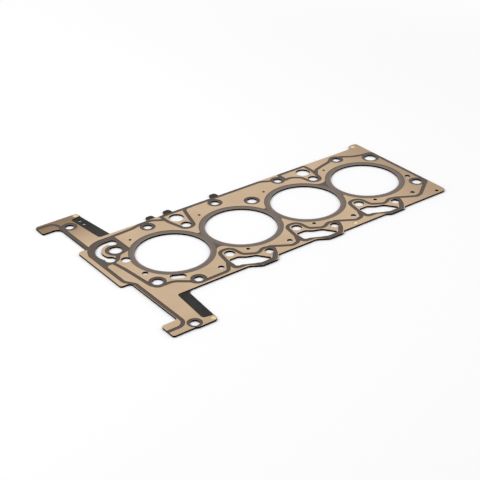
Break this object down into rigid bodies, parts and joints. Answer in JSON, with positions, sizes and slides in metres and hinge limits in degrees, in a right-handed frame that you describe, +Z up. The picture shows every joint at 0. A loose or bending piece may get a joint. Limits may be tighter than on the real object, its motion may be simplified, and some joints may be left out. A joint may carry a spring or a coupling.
{
  "type": "head gasket",
  "caption": "Flat multi-layer steel head gasket for an inline engine, with round bore openings, pressed sealing bands and side arms for the chain case.",
  "frame": {"origin": "axis of bore 1 at the bottom face, which rests on the block", "axes": "+X runs along the row of bores to bore 4, +Y runs to the rear, the side with the carrier's tabs, +Z runs up along the bores towards the cylinder head"},
  "size_m": [0.4623, 0.2939, 0.0023],
  "materials": {
    "coated_sheet": "satin tan sealing coat on spring steel",
    "dark_carrier": "dark coated steel",
    "stopper_steel": "bare steel",
    "rivet_brass": "satin"
  },
  "bodies": {
    "root": {"upper_bead_sheet": "coated_sheet", "lower_bead_sheet": "coated_sheet", "carrier_sheet": "dark_carrier", "stopper_ring_1": "stopper_steel", "stopper_ring_2": "stopper_steel", "stopper_ring_3": "stopper_steel", "stopper_ring_4": "stopper_steel", "corner_rivet_1": "rivet_brass", "corner_rivet_2": "rivet_brass", "corner_rivet_3": "rivet_brass", "corner_rivet_4": "rivet_brass"}
  },
  "joints": []
}
